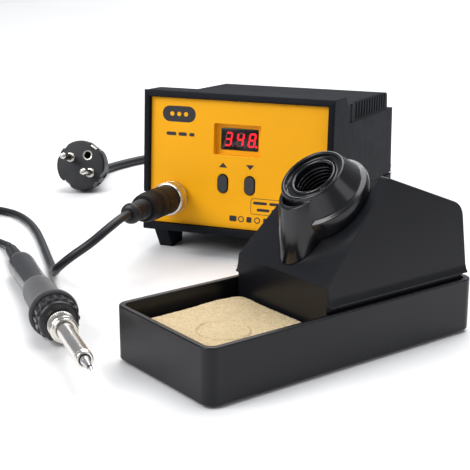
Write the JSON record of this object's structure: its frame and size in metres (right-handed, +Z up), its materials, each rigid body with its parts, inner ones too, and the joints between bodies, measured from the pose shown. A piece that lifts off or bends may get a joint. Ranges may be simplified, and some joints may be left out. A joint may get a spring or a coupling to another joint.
{
  "type": "soldering iron station",
  "caption": "Temperature-controlled soldering station: yellow-fronted control unit with red display, plug-in pencil iron on a cord, iron stand with a cleaning sponge, and mains lead.",
  "frame": {"origin": "middle of the footprint of control unit, iron and stand, on the table they stand on", "axes": "+Z up, the control unit faces -Y, +X to the right of someone facing its panel"},
  "size_m": [0.411, 0.5267, 0.0997],
  "materials": {
    "case_black": "fine-textured black ABS",
    "panel_yellow": "satin yellow plastic",
    "gloss_black": "polished black plastic",
    "key_grey": "satin dark grey plastic",
    "display_red": "tinted window with lit red segments",
    "board_green": "circuit board",
    "nickel": "nickel plate",
    "steel": "satin stainless steel",
    "tip_plating": "iron-plated tip with tinned end",
    "dark_steel": "laminated transformer steel",
    "copper_winding": "enamelled winding under tape",
    "ceramic_white": "fired ceramic",
    "rubber_black": "matt black rubber",
    "foam_black": "soft foam grip",
    "sponge_tan": "open-pored cellulose sponge"
  },
  "bodies": {
    "station": {"top_cover": "case_black", "bottom_case": "case_black", "front_panel": "panel_yellow", "display_module": "display_red", "control_board": "board_green", "key_switch_up": "dark_steel", "key_switch_down": "dark_steel", "panel_socket": "nickel", "socket_nut": "nickel", "transformer_core": "dark_steel", "transformer_winding": "copper_winding", "power_switch_body": "gloss_black", "mains_gland": "rubber_black", "rear_foot_left": "rubber_black", "rear_foot_right": "rubber_black", "case_screw_fl": "steel", "case_screw_fr": "steel", "case_screw_rl": "steel", "case_screw_rr": "steel", "mains_cord": "rubber_black", "mains_cord_coil": "rubber_black", "mains_cord_tie": "rubber_black", "mains_cord_tail": "rubber_black", "mains_plug_body": "rubber_black", "mains_plug_boot": "rubber_black", "plug_pin_left": "nickel", "plug_pin_right": "nickel", "earth_clip_top": "nickel", "earth_clip_bottom": "nickel"},
    "up_button": {"up_button": "key_grey"},
    "down_button": {"down_button": "key_grey"},
    "power_rocker": {"power_rocker": "gloss_black"},
    "iron_lead": {"plug_shell": "gloss_black", "plug_insert": "gloss_black", "plug_boot": "rubber_black", "iron_cord": "rubber_black", "iron_cord_coil": "rubber_black", "iron_cord_tie": "rubber_black", "iron_cord_tail": "rubber_black"},
    "coupling_ring": {"coupling_ring": "nickel"},
    "iron": {"handle_shell": "case_black", "foam_grip": "foam_black", "iron_strain_relief": "rubber_black", "fluted_collar": "case_black", "heater_element": "ceramic_white", "nipple_tube": "nickel"},
    "barrel": {"barrel_tube": "steel", "iron_tip": "tip_plating"},
    "barrel_nut": {"barrel_nut": "nickel"},
    "stand": {"stand_pan": "case_black", "stand_foot_1": "rubber_black", "stand_foot_2": "rubber_black", "stand_foot_3": "rubber_black", "stand_foot_4": "rubber_black"},
    "stand_housing": {"stand_housing": "case_black", "iron_receptacle": "gloss_black"},
    "sponge": {"sponge": "sponge_tan"}
  },
  "joints": [
    {"name": "up_button_press", "type": "slide", "parent": "station", "child": "up_button", "axis": [0, 0.9971, -0.0767], "range_m": [0, 0.0009], "stiffness_N_per_m": 400, "springref_m": -0.0005},
    {"name": "down_button_press", "type": "slide", "parent": "station", "child": "down_button", "axis": [0, 0.9971, -0.0767], "range_m": [0, 0.0009], "stiffness_N_per_m": 400, "springref_m": -0.0005},
    {"name": "power_rocker_tilt", "type": "hinge", "parent": "station", "child": "power_rocker", "pos_m": [-0.0369, 0.18873, 0.04874], "axis": [1, 0, 0], "range_deg": [0, 20]},
    {"name": "plug_pull", "type": "slide", "parent": "station", "child": "iron_lead", "axis": [0, -0.9971, 0.0767], "range_m": [0, 0.012]},
    {"name": "ring_turn", "type": "hinge", "parent": "iron_lead", "child": "coupling_ring", "pos_m": [-0.0514, 0.02735, 0.03564], "axis": [0, 0.9971, -0.0767], "continuous": true},
    {"name": "iron_lift", "type": "slide", "parent": "iron_lead", "child": "iron", "axis": [0, 0, 1], "range_m": [0, 0.04]},
    {"name": "barrel_pull", "type": "slide", "parent": "iron", "child": "barrel", "axis": [0.6286, -0.7762, 0.0489], "range_m": [0, 0.06]},
    {"name": "nut_turn", "type": "hinge", "parent": "barrel", "child": "barrel_nut", "pos_m": [-0.03439, -0.14307, 0.01398], "axis": [-0.6286, 0.7762, -0.0489], "continuous": true},
    {"name": "stand_lift", "type": "slide", "parent": "station", "child": "stand", "axis": [0, 0, 1], "range_m": [0, 0.05]},
    {"name": "housing_lift", "type": "slide", "parent": "stand", "child": "stand_housing", "axis": [0, 0, 1], "range_m": [0, 0.03]},
    {"name": "sponge_lift", "type": "slide", "parent": "stand", "child": "sponge", "axis": [0, 0, 1], "range_m": [0, 0.012]}
  ]
}
